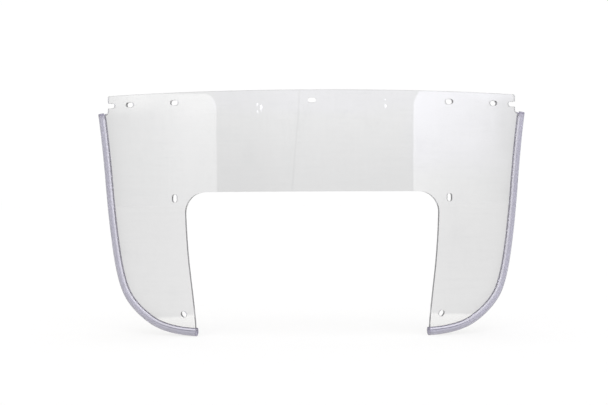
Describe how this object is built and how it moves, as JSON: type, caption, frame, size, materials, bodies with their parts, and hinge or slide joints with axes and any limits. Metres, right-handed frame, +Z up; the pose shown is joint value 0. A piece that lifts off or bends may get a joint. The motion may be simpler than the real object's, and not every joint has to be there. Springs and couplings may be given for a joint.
{
  "type": "motorcycle windshield lower panel",
  "caption": "Clear curved windshield panel with a U-shaped headlamp cut-out, mounting slots, and a split vinyl tube over each outer edge.",
  "frame": {"origin": "centre of the middle slot of the top row, on the convex front face", "axes": "+Z up, +X to the rider's left, -Y to the front of the motorcycle, out of the convex face"},
  "size_m": [0.6138, 0.0788, 0.3374],
  "materials": {
    "clear_sheet": "polished clear polycarbonate, both faces hard coated",
    "vinyl_tube": "translucent smoke-grey extruded vinyl, semi-gloss"
  },
  "bodies": {
    "root": {"windscreen_panel": "clear_sheet", "left_edge_tube": "vinyl_tube", "right_edge_tube": "vinyl_tube"}
  },
  "joints": []
}
